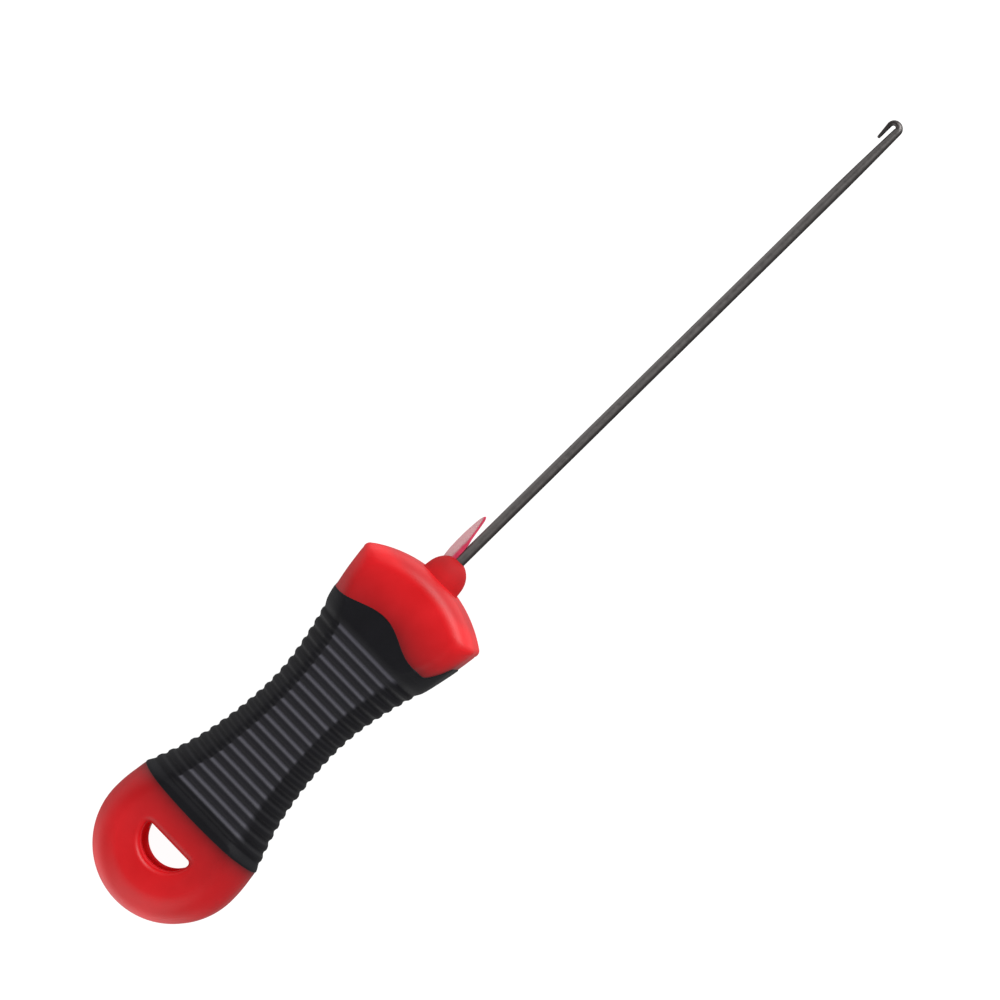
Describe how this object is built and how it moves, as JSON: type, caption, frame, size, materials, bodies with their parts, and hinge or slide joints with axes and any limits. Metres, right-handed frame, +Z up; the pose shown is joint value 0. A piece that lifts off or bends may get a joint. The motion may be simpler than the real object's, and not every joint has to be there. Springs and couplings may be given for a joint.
{
  "type": "baiting needle",
  "caption": "Baiting needle: a slim steel wire with an open hook at its tip, in a waisted red handle with a ribbed black grip and a lanyard slot.",
  "frame": {"origin": "under the middle of the tool's length, on the surface that its flat handle lies on", "axes": "+X along the needle from the handle's tail to the hook, +Y to the side that the hook opens on, +Z up out of the surface"},
  "size_m": [0.15, 0.022, 0.011],
  "materials": {
    "core_red": "satin",
    "grip_black": "matte",
    "wire_steel": "satin",
    "tongue_red": "gloss"
  },
  "bodies": {
    "root": {"handle_core": "core_red", "grip_sleeve": "grip_black", "needle": "wire_steel", "nose_tongue": "tongue_red"}
  },
  "joints": []
}
